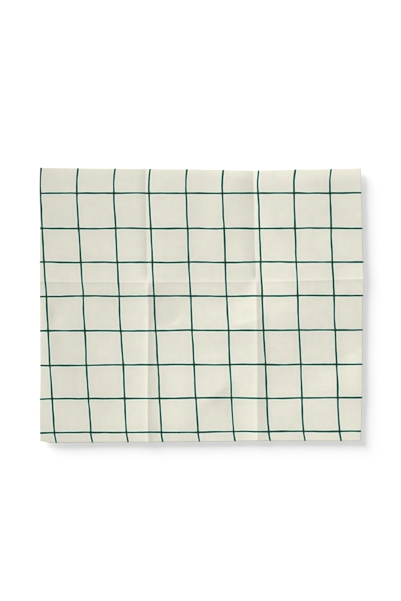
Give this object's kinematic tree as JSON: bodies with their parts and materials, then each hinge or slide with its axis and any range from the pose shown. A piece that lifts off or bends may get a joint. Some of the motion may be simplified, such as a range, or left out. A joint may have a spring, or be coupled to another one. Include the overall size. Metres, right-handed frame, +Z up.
{
  "type": "food wrapping cloth",
  "caption": "Rectangular waxed cotton food wrap with a printed windowpane check, opened out flat with its fold creases and slightly raised edges.",
  "frame": {"origin": "under the middle of the laid cloth, on the surface that it lies on", "axes": "+X along the longer side, +Y along the shorter side towards the half whose folds are valleys, +Z up"},
  "size_m": [0.3514, 0.2978, 0.0076],
  "materials": {
    "waxed_cotton": "off-white plain-woven cotton with a soft wax sheen, printed with thin dark green lines in a windowpane check"
  },
  "bodies": {
    "root": {"cloth": "waxed_cotton"}
  },
  "joints": []
}
